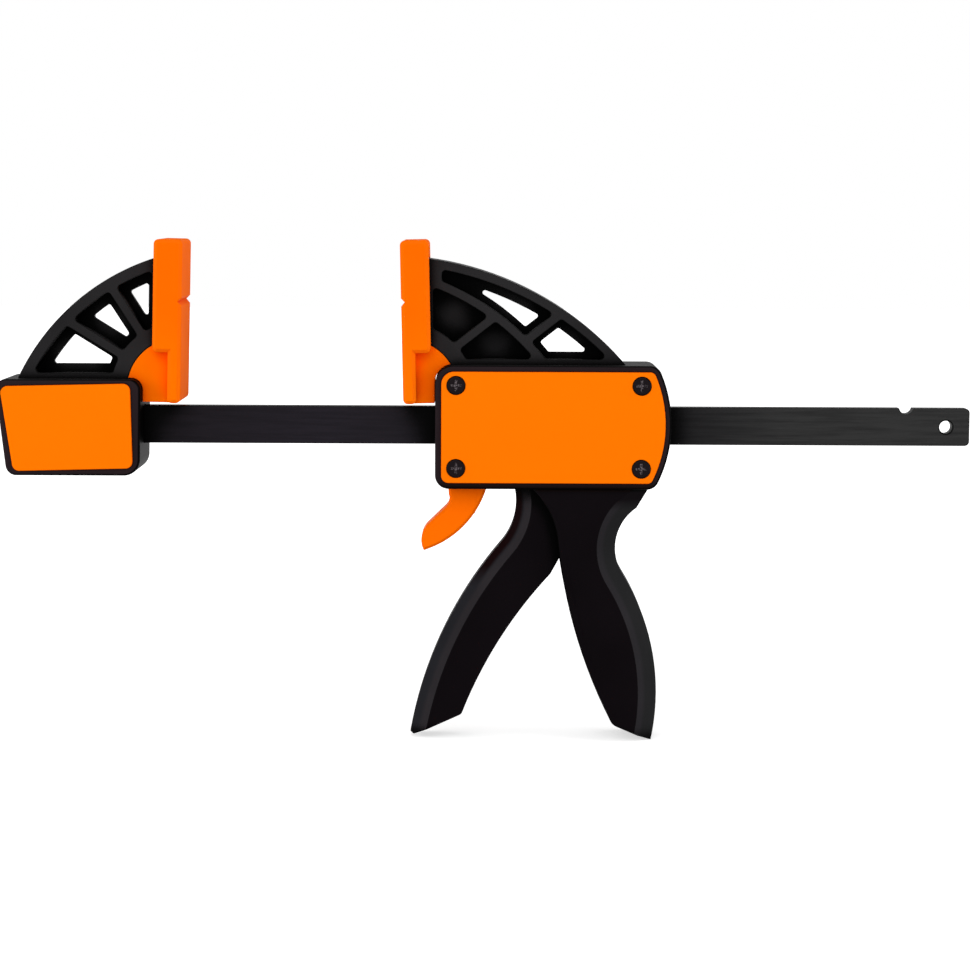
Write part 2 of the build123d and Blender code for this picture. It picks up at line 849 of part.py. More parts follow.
fixed_jaw_pad = jaw_pad(fixed_plane, fixed_hub, grown(base_outline.sketch, slide_clearance))
fixed_jaw_pad.label = "fixed_jaw_pad"
moving_jaw_pad = jaw_pad(moving_plane, moving_hub, grown(head_outline.sketch, slide_clearance))
moving_jaw_pad.label = "moving_jaw_pad"


# ---- Trigger ----

nose = (head_left + drive_along - seat_clearance, trigger_nose_height)

with BuildPart() as trigger:
    with BuildSketch(Plane.XZ) as trigger_outline:
        with BuildLine():
            finger = RadiusArc(
                below(trigger_crook_foot), below(trigger_finger_foot), -trigger_finger_radius
            )
            crook = TangentArc(finger @ 0, below(trigger_root_front), tangent=(finger % 0) * -1)
            Polyline(finger @ 1, below(trigger_end_front), below(trigger_end_back))
            rear = RadiusArc(below(trigger_end_back), below(trigger_crotch), trigger_back_radius)
            Polyline(
                rear @ 1,
                below(trigger_neck_back),
                (nose[0] - trigger_nose_lean, nose[1] - trigger_nose_drop),
                nose,
                (nose[0] - trigger_nose_lean, nose[1] + trigger_nose_rise),
                (pivot[0] + pivot_boss_radius, pivot[1]),
                (pivot[0] - pivot_boss_radius, pivot[1]),
                below(trigger_shoulder),
                crook @ 1,
            )
        make_face()
        fillet(corner_at(trigger_outline, below(trigger_end_back)), trigger_end_round)
        with Locations(pivot):
            Circle(pivot_boss_radius)
            Circle(trigger_pin_radius + pin_clearance, mode=Mode.SUBTRACT)
    extrude(amount=trigger_depth / 2, both=True)
    bevel_sides(
        trigger, trigger_bevel_width, trigger_bevel_depth, trigger_finger_radius, crook.radius
    )
    # Hollow, open toward the grip.
    with BuildSketch(Plane.XZ):
        with Locations(finger.arc_center):
            Circle(trigger_finger_radius - trigger_hollow_wall)
        with Locations(below((trigger_finger_foot[0], trigger_hollow_foot))):
            Rectangle(
                head_length,
                trigger_hollow_foot - trigger_hollow_top,
                align=(Align.MIN, Align.MIN),
                mode=Mode.INTERSECT,
            )
    extrude(amount=trigger_hollow_width / 2, both=True, mode=Mode.SUBTRACT)
    # Fork round the bar.
    with BuildSketch(Plane.XZ):
        with Locations((pivot[0], trigger_fork_floor)):
            Rectangle(head_length, 2 * head_top, align=(Align.CENTER, Align.MIN))
    extrude(amount=bar_half_thickness + 2 * slide_clearance, both=True, mode=Mode.SUBTRACT)
trigger.part.label = "trigger"

trigger_pin_length = cover_back + cavity_back + 2 * trigger_pin_seat - 2 * seat_clearance

with BuildPart() as trigger_pin:
    with BuildSketch(Plane.XZ.offset(cover_back + trigger_pin_seat - seat_clearance)):
        with Locations(pivot):
            Circle(trigger_pin_radius - pin_clearance)
    extrude(amount=-trigger_pin_length)
trigger_pin.part.label = "trigger_pin"


# ---- Drive ----


def drive_plate(along):
    with BuildPart() as plate:
        with BuildSketch(Plane.YZ.offset(head_left + along)):
            plate_middle, plate_height = span(drive_plate_bottom, drive_plate_top)
            with Locations((0, plate_middle)):
                RectangleRounded(drive_plate_width, plate_height, drive_plate_corner)
            Rectangle(plate_hole_width, plate_hole_height, mode=Mode.SUBTRACT)
        extrude(amount=drive_plate_thickness)
    return plate.part


drive_plate_1 = drive_plate(drive_along)
drive_plate_1.label = "drive_plate_1"
drive_plate_2 = drive_plate(drive_along + drive_plate_thickness)
drive_plate_2.label = "drive_plate_2"

drive_spring_start = head_left + drive_along + 2 * drive_plate_thickness
drive_spring_end = head_right - head_wall - drive_spring_seat
drive_spring = coil_spring(
    Plane(origin=(drive_spring_start, 0, 0), z_dir=(1, 0, 0)),
    drive_spring_end - drive_spring_start,
    drive_spring_radius,
    drive_spring_wire,
    drive_spring_turns,
)
drive_spring.label = "drive_spring"


# ---- Brake ----

brake_top = head_top - head_wall - brake_top_gap
brake_axis = (head_left + brake_along, brake_top)
brake_lean = radians(brake_tilt)
# The plate's own plane hangs from its top edge, x across the bar and y up the plate.
brake_plane = Plane(
    origin=(brake_axis[0], 0, brake_axis[1]),
    x_dir=(0, 1, 0),
    z_dir=(cos(brake_lean), 0, -sin(brake_lean)),
)
brake_hole_drop = brake_top / cos(brake_lean)

with BuildPart() as brake_plate:
    with BuildSketch(brake_plane):
        with Locations((0, 0)):
            Rectangle(
                brake_width,
                brake_top - brake_foot,
                align=(Align.CENTER, Align.MAX),
            )
            Rectangle(
                brake_tongue_width,
                brake_top - brake_tongue_foot,
                align=(Align.CENTER, Align.MAX),
            )
        with Locations((0, -brake_hole_drop)):
            Rectangle(plate_hole_width, brake_hole_height, mode=Mode.SUBTRACT)
    extrude(amount=brake_thickness / 2, both=True)
brake_plate.part.label = "brake_plate"

with BuildPart() as release_lever:
    with BuildSketch(Plane.XZ):
        with BuildLine():
            calf = Line(below(lever_shin_foot), below(lever_heel_top))
            shin = TangentArc(calf @ 0, below(lever_shin_top), tangent=(calf % 0) * -1)
            heel = TangentArc(calf @ 1, below(lever_heel_foot), tangent=calf % 1)
            sole = Line(heel @ 1, below(lever_tip))
            instep = TangentArc(sole @ 1, below(lever_instep_top), tangent=sole % 1)
            Polyline(
                instep @ 1,
                below((lever_head_right, -lever_head_rise)),
                below((lever_head_left, -lever_head_rise)),
                shin @ 1,
            )
        make_face()
    extrude(amount=lever_depth / 2, both=True)
    chamfer(release_lever.faces().filter_by(Axis.Y).edges(), lever_edge_bevel)
    with BuildSketch(brake_plane):
        Rectangle(
            brake_tongue_width + 2 * pin_clearance,
            brake_top - brake_tongue_foot + pin_clearance,
            align=(Align.CENTER, Align.MAX),
        )
    extrude(amount=brake_thickness / 2 + pin_clearance, both=True, mode=Mode.SUBTRACT)
release_lever.part.label = "release_lever"

brake_face = brake_axis[0] - (brake_top - brake_spring_height) * tan(brake_lean)
brake_spring_start = brake_face + brake_thickness / 2 + brake_spring_radius * tan(brake_lean)
brake_spring_end = head_left + divider_along - divider_thickness / 2
brake_spring = coil_spring(
    Plane(origin=(brake_spring_start, 0, brake_spring_height), z_dir=(1, 0, 0)),
    brake_spring_end - brake_spring_start,
    brake_spring_radius,
    brake_spring_wire,
    brake_spring_turns,
)
brake_spring.label = "brake_spring"


os.makedirs("parts", exist_ok=True)
export_step(bar.part, "parts/bar.step")
export_step(fixed_jaw_body.part, "parts/fixed_jaw_body.step")
export_step(fixed_jaw_cover.part, "parts/fixed_jaw_cover.step")
export_step(fixed_jaw_pad, "parts/fixed_jaw_pad.step")
export_step(jaw_lock_plunger.part, "parts/jaw_lock_plunger.step")
export_step(jaw_lock_spring, "parts/jaw_lock_spring.step")
export_step(head_body.part, "parts/head_body.step")
export_step(front_cover.part, "parts/front_cover.step")
export_step(cover_screws.part, "parts/cover_screws.step")
export_step(cover_nuts.part, "parts/cover_nuts.step")
export_step(moving_jaw_pad, "parts/moving_jaw_pad.step")
export_step(trigger.part, "parts/trigger.step")
export_step(trigger_pin.part, "parts/trigger_pin.step")
export_step(drive_plate_1, "parts/drive_plate_1.step")
export_step(drive_plate_2, "parts/drive_plate_2.step")
export_step(drive_spring, "parts/drive_spring.step")
export_step(brake_plate.part, "parts/brake_plate.step")
export_step(brake_spring, "parts/brake_spring.step")
export_step(release_lever.part, "parts/release_lever.step")
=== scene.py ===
import bpy
import json
import math
from mathutils import Matrix, Vector

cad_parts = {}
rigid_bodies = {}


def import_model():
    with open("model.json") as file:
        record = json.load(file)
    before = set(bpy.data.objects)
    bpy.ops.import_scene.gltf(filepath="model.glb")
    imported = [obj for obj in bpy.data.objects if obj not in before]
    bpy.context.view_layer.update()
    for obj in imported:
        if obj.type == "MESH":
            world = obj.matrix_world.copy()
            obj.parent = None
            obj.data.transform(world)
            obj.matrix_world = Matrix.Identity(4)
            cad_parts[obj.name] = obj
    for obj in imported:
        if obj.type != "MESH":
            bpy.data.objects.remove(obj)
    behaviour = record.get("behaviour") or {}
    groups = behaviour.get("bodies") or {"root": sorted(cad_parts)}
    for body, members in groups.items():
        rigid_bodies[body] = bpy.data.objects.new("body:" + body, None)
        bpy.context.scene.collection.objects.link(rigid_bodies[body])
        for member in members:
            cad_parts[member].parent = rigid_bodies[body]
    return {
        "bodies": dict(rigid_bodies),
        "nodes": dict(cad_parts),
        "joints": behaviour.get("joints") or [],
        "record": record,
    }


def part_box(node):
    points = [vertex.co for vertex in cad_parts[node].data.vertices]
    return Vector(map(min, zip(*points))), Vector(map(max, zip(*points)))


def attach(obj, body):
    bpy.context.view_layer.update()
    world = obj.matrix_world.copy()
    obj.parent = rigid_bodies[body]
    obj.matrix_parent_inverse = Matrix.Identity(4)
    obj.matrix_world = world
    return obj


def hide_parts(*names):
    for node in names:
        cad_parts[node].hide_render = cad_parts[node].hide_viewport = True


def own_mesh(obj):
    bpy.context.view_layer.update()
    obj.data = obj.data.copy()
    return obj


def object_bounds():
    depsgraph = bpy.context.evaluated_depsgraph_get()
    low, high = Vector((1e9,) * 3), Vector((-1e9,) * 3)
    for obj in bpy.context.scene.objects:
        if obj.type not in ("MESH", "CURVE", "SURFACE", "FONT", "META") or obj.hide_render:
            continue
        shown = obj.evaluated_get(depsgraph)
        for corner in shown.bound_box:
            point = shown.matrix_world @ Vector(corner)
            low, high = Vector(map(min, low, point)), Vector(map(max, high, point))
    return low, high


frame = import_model()
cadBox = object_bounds()
print("frame loaded")


# Camera. Lengths are in metres here and in the studio, and in millimetres in the finishes.

camera = {
    "target": (-0.1715, 0.0, -0.0228),
    "distance": 1.0255,
    "elevation": 6.0,    # degrees above level
    "roll": 0.24,        # degrees, right end of the bar lower
    "lens": 101.7,       # mm
    "nearest": 0.05, "farthest": 50.0,
}


def makeCamera():
    tilt = math.radians(camera["elevation"])
    roll = math.radians(camera["roll"])
    right = Vector((1, 0, 0))
    up = Vector((0, math.sin(tilt), math.cos(tilt)))
    back = right.cross(up)
    rolledRight = right * math.cos(roll) + up * math.sin(roll)
    rolledUp = up * math.cos(roll) - right * math.sin(roll)
    turn = Matrix((rolledRight, rolledUp, back)).transposed().to_4x4()
    data = bpy.data.cameras.new("camera")
    data.lens = camera["lens"]
    data.sensor_fit = "HORIZONTAL"
    data.clip_start = camera["nearest"]
    data.clip_end = camera["farthest"]
    place = Vector(camera["target"]) + back * camera["distance"]
    eye = bpy.data.objects.new("camera", data)
    eye.matrix_world = Matrix.Translation(place) @ turn
    bpy.context.scene.collection.objects.link(eye)
    bpy.context.scene.camera = eye


makeCamera()
print("camera placed")


# Materials

def linear(hexText):
    # sRGB hex to the linear values that shader sockets take
    parts = [int(hexText[i:i + 2], 16) / 255 for i in (1, 3, 5)]
    return [c / 12.92 if c <= 0.04045 else ((c + 0.055) / 1.055) ** 2.4 for c in parts] + [1.0]


def perMetre(millimetres):
    # Texture scale for a pattern that repeats about every so many millimetres
    return 1000 / millimetres


def metres(span, start=0.0):
    # Lengths in mm from a start, also in mm, turned to the metres of a position
    return [(start + length) / 1000 for length in span]


def newMaterial(name):
    material = bpy.data.materials.new(name)
    material.use_nodes = True
    material.node_tree.nodes.clear()
    return material


def addNode(material, kind, sockets=None, **settings):
    # One node with its settings. A socket takes a value, a hex colour, or the output to link it to.
    node = material.node_tree.nodes.new(kind)
    for key, value in settings.items():
        setattr(node, key, value)
    for socket, value in (sockets or {}).items():
        if isinstance(value, bpy.types.NodeSocket):
            material.node_tree.links.new(value, node.inputs[socket])
        else:
            node.inputs[socket].default_value = linear(value) if isinstance(value, str) else value
    return node


def layTone(material, below, above, *bounds):
    # Lays one tone over another. A bound is a measure of the surface with a pair of its values:
    # where the upper tone starts, and where it is full. Several bounds multiply.
    share = None
    for measure, (start, full) in bounds:
        part = addNode(material, "ShaderNodeMapRange",
                       {"Value": measure, "From Min": start, "From Max": full}).outputs[0]
        if share is not None:
            part = addNode(material, "ShaderNodeMath", {0: share, 1: part},
                           operation="MULTIPLY").outputs[0]
        share = part
    # sockets 6 and 7 of a Mix node are its two colours, and output 2 is the mixed one
    mixed = addNode(material, "ShaderNodeMix", {0: share, 6: below, 7: above}, data_type="RGBA")
    return mixed.outputs[2]


def readPlace(material):
    # Where a point lies, as one vector and in parts, and how far its face looks along the bar,
    # across it either way, and up
    coordinates = addNode(material, "ShaderNodeTexCoord")
    place = coordinates.outputs["Object"]
    spot = addNode(material, "ShaderNodeSeparateXYZ", {0: place}).outputs
    faces = addNode(material, "ShaderNodeSeparateXYZ", {0: coordinates.outputs["Normal"]}).outputs
    across = addNode(material, "ShaderNodeMath", {0: faces[1]}, operation="ABSOLUTE").outputs[0]
    return {"place": place, "x": spot[0], "y": spot[1], "height": spot[2],
            "along": faces[0], "across": across, "up": faces[2]}


raySamples = {"edges": 6, "openness": 12}


def readEdgesAndShade(material, look):
    # Moulded and tumbled edges are never sharp, so the normal turns over a small radius. This gives
    # that normal, its cosine to the flat face's normal, which is 1 clear of the edges, and how open
    # a point lies: 1 where it sees all round, less in a corner or pocket. The cosine places the
    # painted edge highlights, and the openness places the painted shade in corners and pockets.
    rounded = addNode(material, "ShaderNodeBevel", {"Radius": look["edgeRadius"] / 1000},
                      samples=raySamples["edges"]).outputs[0]
    flat = addNode(material, "ShaderNodeNewGeometry").outputs["Normal"]
    turn = addNode(material, "ShaderNodeVectorMath", {0: rounded, 1: flat}, operation="DOT_PRODUCT")
    depth = addNode(material, "ShaderNodeAmbientOcclusion",
                    {"Distance": look["pocketReach"] / 1000}, samples=raySamples["openness"])
    return {"rounded": rounded, "turn": turn.outputs["Value"], "open": depth.outputs["AO"]}


def finishMaterial(material, look, tone, pattern, rounded=None):
    # What every finish ends in: its pattern lifts the surface a little and makes its gloss uneven
    relief = look["relief"] | {"Height": pattern}
    if rounded is not None:
        relief["Normal"] = rounded
    bump = addNode(material, "ShaderNodeBump", relief)
    sockets = look["shader"] | {"Base Color": tone, "Normal": bump.outputs[0]}
    if "gloss" in look:
        smooth, rough = look["gloss"]
        gloss = addNode(material, "ShaderNodeMapRange",
                        {"Value": pattern, "To Min": smooth, "To Max": rough})
        sockets["Roughness"] = gloss.outputs[0]
    shader = addNode(material, "ShaderNodeBsdfPrincipled", sockets)
    addNode(material, "ShaderNodeOutputMaterial", {"Surface": shader.outputs[0]})
    return material


def finishMoulding(material, look, tone, at):
    # What the mouldings share: the slow drift of tone from the melt's flow, painted shade that
    # deepens the corners and pockets, and the spark-eroded grain of the tool
    drift = addNode(material, "ShaderNodeTexNoise", look["drift"] | {"Vector": at["place"]})
    shade = addNode(material, "ShaderNodeMapRange",
                    look["driftShade"] | {"Value": drift.outputs["Fac"]}).outputs[0]
    tone = layTone(material, look["deep"], tone, (shade, (0, 1)))
    tone = layTone(material, look["corner"], tone, (at["open"], look["open"]))
    grain = addNode(material, "ShaderNodeTexNoise", look["grain"] | {"Vector": at["place"]})
    return finishMaterial(material, look, tone, grain.outputs["Fac"], at["rounded"])


def glassFilledNylon(name, look):
    # Glass-filled nylon as moulded: nearly black and satin. Bevels and edges carry a painted sheen
    # and highlight on the side that looks toward the light, paler along a bevel's crease; arm ribs
    # and the frames round the covers are painted greyer as light, and side walls and the pockets
    # between ribs are painted deep black as shade.
    material = newMaterial(name)
    at = readPlace(material) | readEdgesAndShade(material, look)
    offMiddle = addNode(material, "ShaderNodeMath", {0: at["y"]}, operation="ABSOLUTE").outputs[0]
    # Bevels and edges carry their painted sheen and highlight only on the side that looks toward
    # the light
    paintedHighlight = (at["along"], look["litSide"])
    turned = (at["turn"], look["edgeTurn"])
    # Side walls and pocket walls are painted near black as shade
    tone = layTone(material, look["wall"], look["face"], (at["across"], look["flat"]))
    bevel = layTone(material, look["bevel"], look["crest"], (offMiddle, metres(look["crestAt"])))
    tone = layTone(material, tone, bevel,
                   (at["across"], look["slant"]), (at["across"], look["slantEnd"]), paintedHighlight)
    tone = layTone(material, tone, look["edge"], turned, paintedHighlight)
    # High on the trigger, the front of its bevel is painted near black as shade
    if "shadeBand" in look:
        tone = layTone(material, tone, look["shadeBand"],
                       (offMiddle, metres(look["shadeBandTo"])),
                       (at["height"], metres(look["shadeBandFrom"])))
    if "gripTop" in look:
        # The grip's bevel runs out where the grip grows into the housing
        root = metres(look["gripRoot"], look["gripTop"])
        tone = layTone(material, look["face"], tone, (at["height"], root))
        # The rims round the covers keep the grey of their painted highlight only where they look
        # forward or toward the left, where the light comes from, and are painted darker low down as
        # shade
        lean = addNode(material, "ShaderNodeMath",
                       {0: at["along"], 1: look["leftShare"], 2: at["across"]},
                       operation="MULTIPLY_ADD").outputs[0]
        low = metres(look["frameFoot"], look["gripTop"])
        frame = layTone(material, look["frame"], look["frameLow"], (at["height"], low))
        housing = layTone(material, look["wall"], frame,
                          (lean, look["forward"]), (at["up"], look["notBelow"]))
        seam = metres(look["housingSeam"], look["gripTop"])
        tone = layTone(material, tone, housing, (at["height"], seam))
        # Arm ribs are painted greyer as light from above, and their edges darker as painted shade
        arm = layTone(material, look["rib"], look["ribEdge"], turned)
        seam = metres(look["armSeam"], look["armFoot"])
        tone = layTone(material, tone, arm, (at["height"], seam))
    return finishMoulding(material, look, tone, at)


# In the looks, a pair is where a tone starts and where it is full.
nylonLook = {
    # faces across the bar keep the face tone; side walls are painted near black as shade
    "face": "#0e0a0d", "wall": "#030303",
    "flat": (0.5, 0.9),            # how squarely it looks across the bar, from wall to face
    # bevels are painted greyer as sheen, paler still near their crease as a painted highlight
    "bevel": "#222223", "crest": "#29272a",
    "slant": (0.35, 0.6),          # the same, from wall to bevel
    "slantEnd": (0.98, 0.92),      # and from face to bevel
    "crestAt": (10.7, 11.7),       # mm from the middle plane, where a bevel turns paler with a painted highlight
    # edges are painted paler as highlight
    "edge": "#323233", "edgeRadius": 0.6,
    "edgeTurn": (0.99, 0.88),      # cosine of the angle that an edge turns by
    "litSide": (-0.2, 0.2),     # bevels and edges that look along the bar this way, toward the light, get the painted sheen
    # pockets and corners are painted black as shade
    "corner": "#000000", "pocketReach": 9.0, "open": (0.5, 0.82),
    # marks of the melt's flow are a few centimetres long; where they are lowest, the tone keeps
    # the share in "To Min" and the rest is the deep tone
    "deep": "#000000", "drift": {"Scale": perMetre(30), "Detail": 3.0},
    "driftShade": {"From Min": 0.3, "From Max": 0.7, "To Min": 0.7},
    # spark grain is nearer 0.1 mm; drawn coarser so that it shows
    "grain": {"Scale": perMetre(0.5), "Detail": 2.0, "Roughness": 0.6},
    "relief": {"Strength": 0.3, "Distance": 0.03 / 1000},     # 0.03 mm deep
    "gloss": (0.39, 0.51),         # roughness from the grain's low spots to its high ones
    "shader": {"IOR": 1.53, "Specular IOR Level": 0.012},
}
housingLook = nylonLook | {
    # mm above the grip's top and, for the last, above the arm's foot
    "gripRoot": (-3.0, -7.0), "frameFoot": (4.5, 2.0), "housingSeam": (-0.2, 0.2),
    "armSeam": (-0.4, 0.4),
    # the frames round the covers carry a painted highlight, darker low down as painted shade
    "frame": "#271e21", "frameLow": "#150c0b",
    # how squarely a rim looks across the bar, plus this share of how far it looks along it
    "leftShare": -0.5, "forward": (0.75, 0.95),
    "notBelow": (-0.6, -0.1),      # how far it looks up; rims that look down are painted dark as shade
    # arm ribs are painted greyer as light from above, their edges darker as painted shade
    "rib": "#282728", "ribEdge": "#0e0e0e",
}
headLook = housingLook | {"gripTop": -23.6, "armFoot": 23.1}
jawLook = housingLook | {"gripTop": -100.0, "armFoot": 17.4}     # no grip, so housing all the way
triggerLook = nylonLook | {
    "bevel": "#232327", "crest": "#2c292c", "crestAt": (5.2, 6.2),
    # high up, the front of the bevel is painted a bare black as shade under the head and lever: mm
    # from the middle plane, and mm above the bar's middle
    "shadeBand": "#120405", "shadeBandTo": (5.7, 4.9), "shadeBandFrom": (-60.5, -52.5),
    # the trigger's painted sheen is on the side that looks the other way along the bar, and a tight
    # painted shadow falls on it where the grip stands beside it
    "litSide": (0.2, -0.2), "pocketReach": 10.0, "open": (0.79, 0.82),
}
headNylon = glassFilledNylon("mouldedGlassNylonHead", headLook)
jawNylon = glassFilledNylon("mouldedGlassNylonJaw", jawLook)
triggerNylon = glassFilledNylon("mouldedGlassNylonTrigger", triggerLook)


def brightPlastic(name, look):
    # Solid-coloured moulding: a saturated tone under a faint satin grain, shifted with height as
    # painted light and shade, with the side walls in a painted tone of their own and a painted
    # highlight on the edges
    material = newMaterial(name)
    at = readPlace(material) | readEdgesAndShade(material, look)
    tone = layTone(material, look["faceLow"], look["face"], (at["height"], metres(look["rise"])))
    tone = layTone(material, look["wall"], tone, (at["across"], look["flat"]))
    tone = layTone(material, tone, look["edge"], (at["turn"], look["edgeTurn"]))
    return finishMoulding(material, look, tone, at)


coverLook = {
    "face": "#ff7600", "faceLow": "#ff7500", "wall": "#f06400",
    "flat": (0.5, 0.9),
    "rise": (-20, 20),     # mm above the bar's middle, from the low face's tone to the face's: painted light and shade by height
    # edges carry a painted highlight, and corners and pockets painted shade
    "edge": "#ff7e00", "edgeRadius": 0.3, "edgeTurn": (0.99, 0.88),
    "corner": "#ee5800", "pocketReach": 5.0, "open": (0.5, 0.9),
    "deep": "#f86e00", "drift": {"Scale": perMetre(30), "Detail": 3.0},
    "driftShade": {"From Min": 0.3, "From Max": 0.7, "To Min": 0.85},
    # a fine satin grain, drawn coarser too
    "grain": {"Scale": perMetre(0.5), "Detail": 2.0, "Roughness": 0.6},
    "relief": {"Strength": 0.15, "Distance": 0.02 / 1000},
    "gloss": (0.36, 0.48), "shader": {"IOR": 1.54, "Specular IOR Level": 0.01},
}
leverLook = coverLook | {
    "face": "#ff6a00", "faceLow": "#fd6d00", "rise": (-40, -22), "edge": "#ff7400",
    "corner": "#ff6400",
}
padLook = coverLook | {
    "face": "#f86900", "faceLow": "#fd7400", "wall": "#fc6e0c", "rise": (12, 42),
    "edge": "#ff7400", "edgeRadius": 0.7,
    "corner": "#f65600", "pocketReach": 6.0, "open": (0.5, 0.88),
    "deep": "#f26000", "drift": {"Scale": perMetre(18), "Detail": 3.0},
    "driftShade": {"From Min": 0.3, "From Max": 0.7, "To Min": 0.7},
    "grain": {"Scale": perMetre(0.7), "Detail": 2.0, "Roughness": 0.6},
    "relief": {"Strength": 0.2, "Distance": 0.03 / 1000},
    "gloss": (0.54, 0.66), "shader": {"IOR": 1.5, "Specular IOR Level": 0.005},
}
mouldedAbs = brightPlastic("mouldedOrangeAbs", coverLook)
leverAbs = brightPlastic("mouldedOrangeAbsLever", leverLook)
mouldedElastomer = brightPlastic("mouldedOrangeElastomer", padLook)


def drawnSteel(name, look):
    # Cold-drawn strip steel under black oxide: fine lines along the strip, and a painted reflection
    # whose tone runs from a violet black at one end to grey at the other, with darker narrow faces
    # and painted shadow beside the parts round it
    material = newMaterial(name)
    at = readPlace(material) | readEdgesAndShade(material, look)
    last, tone = look["skin"][0]
    for spot, colour in look["skin"][1:]:
        tone = layTone(material, tone, colour, (at["x"], metres((last, spot))))
        last = spot
    tone = layTone(material, look["wall"], tone, (at["across"], look["flat"]))
    drawn = addNode(material, "ShaderNodeMapping",
                    {"Vector": at["place"], "Scale": look["stretch"]}).outputs[0]
    lines = addNode(material, "ShaderNodeTexNoise",
                    look["lines"] | {"Vector": drawn}).outputs["Fac"]
    streaks = addNode(material, "ShaderNodeMapRange", look["streakShare"] | {"Value": lines})
    tone = layTone(material, tone, look["streak"], (streaks.outputs[0], (0, 1)))
    tone = layTone(material, look["corner"], tone, (at["open"], look["open"]))
    return finishMaterial(material, look, tone, lines, at["rounded"])


barLook = {
    # mm along the bar, and the tone of the painted reflection there
    "skin": [(-300, "#1c191d"), (-230, "#221f25"), (-105, "#1c1b1d"), (-62, "#303030")],
    # the bar's narrow faces are painted darker as shade
    "wall": "#151515", "flat": (0.8, 0.95),
    # draw lines of the strip, 1.4 mm across and 30 mm long; really finer
    "lines": {"Scale": perMetre(1.4), "Detail": 4.0, "Roughness": 0.65},
    "stretch": (1.4 / 30, 1, 1),
    "streak": "#0c0c0d", "streakShare": {"From Min": 0.42, "From Max": 0.7, "To Max": 0.45},
    # painted shadow where the base and the head stand beside the bar
    "corner": "#000000", "pocketReach": 25.0, "open": (0.7, 0.81),
    "edgeRadius": 0.4, "relief": {"Strength": 0.3, "Distance": 0.02 / 1000},
    "shader": {"Roughness": 0.4, "Specular IOR Level": 0.02},
}
blackOxideBar = drawnSteel("blackOxideDrawnSteel", barLook)


def oxideScrew(name, look):
    # Black oxide over steel: a dark satin head, with a painted highlight in patches in the recess
    # and painted shade on the head's side
    material = newMaterial(name)
    at = readPlace(material)
    marks = addNode(material, "ShaderNodeTexNoise",
                    look["marks"] | {"Vector": at["place"]}).outputs["Fac"]
    recess = layTone(material, look["recessTone"], look["paintedHighlight"], (marks, look["patches"]))
    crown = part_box("cover_screws")[0][1] * 1000
    tone = layTone(material, look["head"], recess, (at["y"], metres(look["recessFrom"], crown)))
    tone = layTone(material, look["side"], tone, (at["across"], look["flat"]))
    return finishMaterial(material, look, tone, marks)


screwLook = {
    # the head's side is painted dark as shade
    "head": "#161214", "side": "#0a0505", "flat": (0.6, 0.95),
    # the recess carries a painted highlight, broken into patches by the marks
    "recessTone": "#1c181a", "paintedHighlight": "#5a5356", "patches": (0.45, 0.6),     # by the marks
    "recessFrom": (0.8, 1.0),     # mm behind the head's crown
    "marks": {"Scale": perMetre(0.5), "Detail": 3.0},     # scuffs of the bit, half a mm wide, which also break up the painted highlight
    "relief": {"Strength": 0.2, "Distance": 0.02 / 1000},
    "gloss": (0.25, 0.45), "shader": {"Metallic": 1.0},
}
blackScrew = oxideScrew("blackOxideScrew", screwLook)


def platedSteel(name, look):
    # Zinc plate and oiled wire: bright satin metal under a thin even skin, with faint rolling marks
    material = newMaterial(name)
    place = addNode(material, "ShaderNodeTexCoord").outputs["Object"]
    marks = addNode(material, "ShaderNodeTexNoise", look["marks"] | {"Vector": place})
    return finishMaterial(material, look, look["skin"], marks.outputs["Fac"])


zincLook = {
    # rolling marks are finer than this, and drawn coarser so that they show
    "skin": "#b9bcc0", "marks": {"Scale": perMetre(0.8), "Detail": 3.0},
    "relief": {"Strength": 0.2, "Distance": 0.02 / 1000},
    "gloss": (0.27, 0.43), "shader": {"Metallic": 1.0},
}
wireLook = zincLook | {
    "skin": "#8c8d90", "marks": {"Scale": perMetre(0.6), "Detail": 3.0}, "gloss": (0.22, 0.38),
}
zincSteel = platedSteel("zincPlatedSteel", zincLook)
springWire = platedSteel("oiledSpringWire", wireLook)

finishes = {
    "bar": blackOxideBar,
    "fixed_jaw_body": jawNylon,
    "fixed_jaw_cover": mouldedAbs,
    "fixed_jaw_pad": mouldedElastomer,
    "jaw_lock_plunger": zincSteel,
    "jaw_lock_spring": springWire,
    "head_body": headNylon,
    "front_cover": mouldedAbs,
    "cover_screws": blackScrew,
    "cover_nuts": zincSteel,
    "moving_jaw_pad": mouldedElastomer,
    "trigger": triggerNylon,
    "trigger_pin": zincSteel,
    "drive_plate_1": zincSteel,
    "drive_plate_2": zincSteel,
    "drive_spring": springWire,
    "brake_plate": zincSteel,
    "brake_spring": springWire,
    "release_lever": leverAbs,
}

for nodeName, finish in finishes.items():
    node = frame["nodes"][nodeName]
    node.data.materials.clear()
    node.data.materials.append(finish)
print("materials made")


# Springs

springs = {
    # travel, in mm, is what the joint takes off the spring's length at its limit, and fixedCorner
    # says which end of its box stays put: 0 the lower, 1 the higher
    "catchSpring": {"node": "jaw_lock_spring", "body": "fixed_jaw", "joint": "jaw_lock_press",
                    "axis": 1, "fixedCorner": 0, "travel": 4.4},
    "driveSpring": {"node": "drive_spring", "body": "head", "joint": "drive_plate_push",
                    "axis": 0, "fixedCorner": 1, "travel": 5.55},
    "brakeSpring": {"node": "brake_spring", "body": "head", "joint": "release_pull",
                    "axis": 0, "fixedCorner": 1, "travel": 4.5},
}


def makeSpring(name, spring):
    # A copy of the wound wire takes the CAD node's place on the spring's body
    coil = frame["nodes"][spring["node"]].data.copy()
    piece = bpy.data.objects.new(name, coil)
    bpy.context.scene.collection.objects.link(piece)
    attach(piece, spring["body"])
    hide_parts(spring["node"])
    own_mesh(piece)


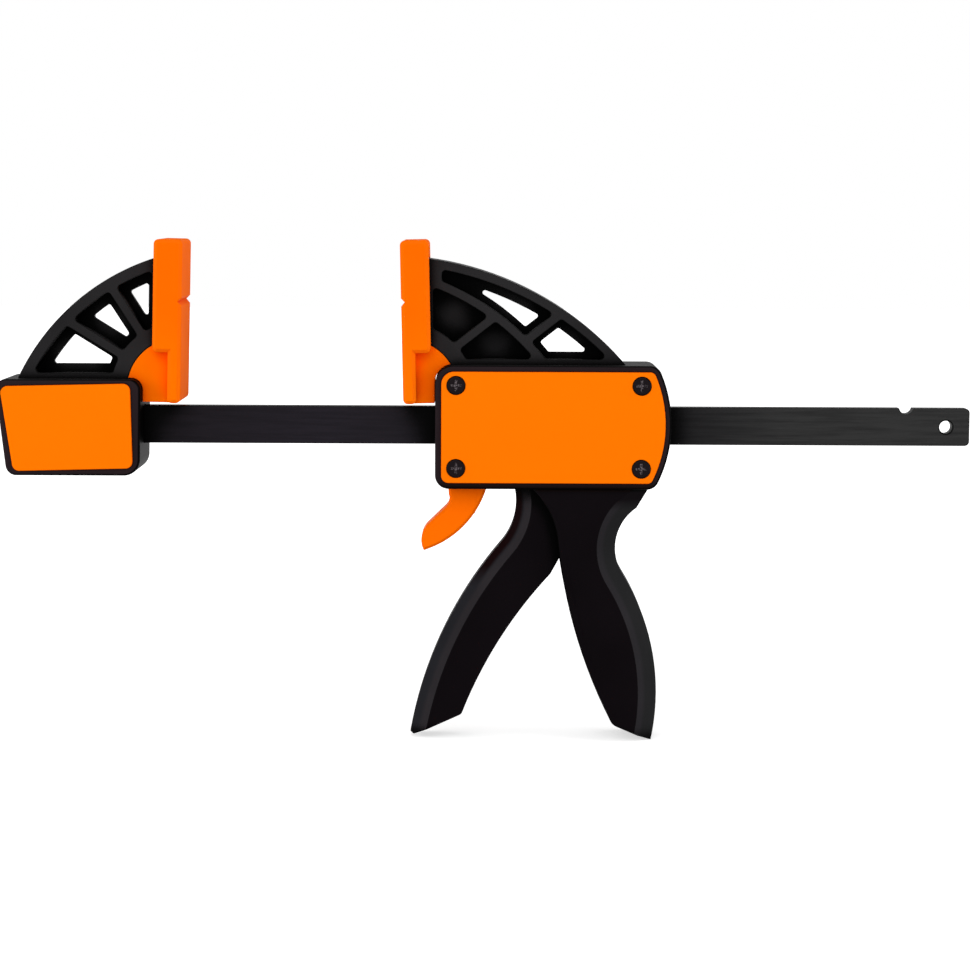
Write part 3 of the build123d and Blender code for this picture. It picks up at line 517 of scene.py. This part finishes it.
for name, spring in springs.items():
    makeSpring(name, spring)
print("springs made")


# Studio

studio = {
    "floorHalf": 4.0,
    "floorTone": "#e6e6e6",
    # what the eye and mirrors see on top of the lit floor, near the tool and far from it
    "floorGlow": {"From Min": 0.25, "From Max": 0.7, "To Min": 0.55, "To Max": 1.0},
    "worldLight": 0.4,      # what the world gives the object; the eye sees it white
    "aim": (-0.17, 0.0, -0.02),
    "lamps": [
        # name, place, size, watts
        ("softboxFront", (-0.35, -1.5, 0.75), 1.4, 11.5),
        ("softboxLeft", (-1.6, -0.45, 0.25), 1.0, 12.0),
        ("softboxRight", (1.25, -0.4, 0.25), 1.0, 12.0),
        ("softboxTop", (-0.15, 0.3, 1.5), 1.2, 4.0),
    ],
}


def seenByEye(material):
    # 1 for rays from the camera, from glossy surfaces and through clear ones
    path = addNode(material, "ShaderNodeLightPath").outputs
    seen = path["Is Camera Ray"]
    for way in ("Is Glossy Ray", "Is Transmission Ray"):
        seen = addNode(material, "ShaderNodeMath", {0: seen, 1: path[way]},
                       operation="MAXIMUM").outputs[0]
    return seen


def makeFloor():
    low = cadBox[0][2]
    half = studio["floorHalf"]
    corners = [(x * half, y * half, low) for x, y in ((-1, -1), (1, -1), (1, 1), (-1, 1))]
    mesh = bpy.data.meshes.new("floor")
    mesh.from_pydata(corners, [], [(0, 1, 2, 3)])
    floor = bpy.data.objects.new("floor", mesh)
    bpy.context.scene.collection.objects.link(floor)
    material = newMaterial("paleFloor")
    place = addNode(material, "ShaderNodeTexCoord").outputs["Object"]
    reach = addNode(material, "ShaderNodeVectorMath", {0: place, 1: studio["aim"]},
                    operation="DISTANCE")
    level = addNode(material, "ShaderNodeMapRange",
                    studio["floorGlow"] | {"Value": reach.outputs["Value"]})
    lift = addNode(material, "ShaderNodeMath", {0: seenByEye(material), 1: level.outputs[0]},
                   operation="MULTIPLY")
    matt = addNode(material, "ShaderNodeBsdfDiffuse", {"Color": studio["floorTone"]})
    glow = addNode(material, "ShaderNodeEmission",
                   {"Color": "#ffffff", "Strength": lift.outputs[0]})
    both = addNode(material, "ShaderNodeAddShader", {0: matt.outputs[0], 1: glow.outputs[0]})
    addNode(material, "ShaderNodeOutputMaterial", {"Surface": both.outputs[0]})
    mesh.materials.append(material)


def makeLamps():
    for name, place, size, watts in studio["lamps"]:
        data = bpy.data.lights.new(name, "AREA")
        data.size = size
        data.energy = watts
        lamp = bpy.data.objects.new(name, data)
        turn = (Vector(studio["aim"]) - Vector(place)).to_track_quat("-Z", "Y").to_matrix()
        lamp.matrix_world = Matrix.Translation(place) @ turn.to_4x4()
        bpy.context.scene.collection.objects.link(lamp)


def makeWorld():
    world = bpy.data.worlds.new("studio")
    world.use_nodes = True
    world.node_tree.nodes.clear()
    level = addNode(world, "ShaderNodeMapRange",
                    {"Value": seenByEye(world), "To Min": studio["worldLight"]})
    sky = addNode(world, "ShaderNodeBackground",
                  {"Color": "#ffffff", "Strength": level.outputs[0]})
    addNode(world, "ShaderNodeOutputWorld", {"Surface": sky.outputs[0]})
    bpy.context.scene.world = world
    bpy.context.scene.view_settings.view_transform = "Standard"


makeFloor()
makeLamps()
makeWorld()
print("studio lit")
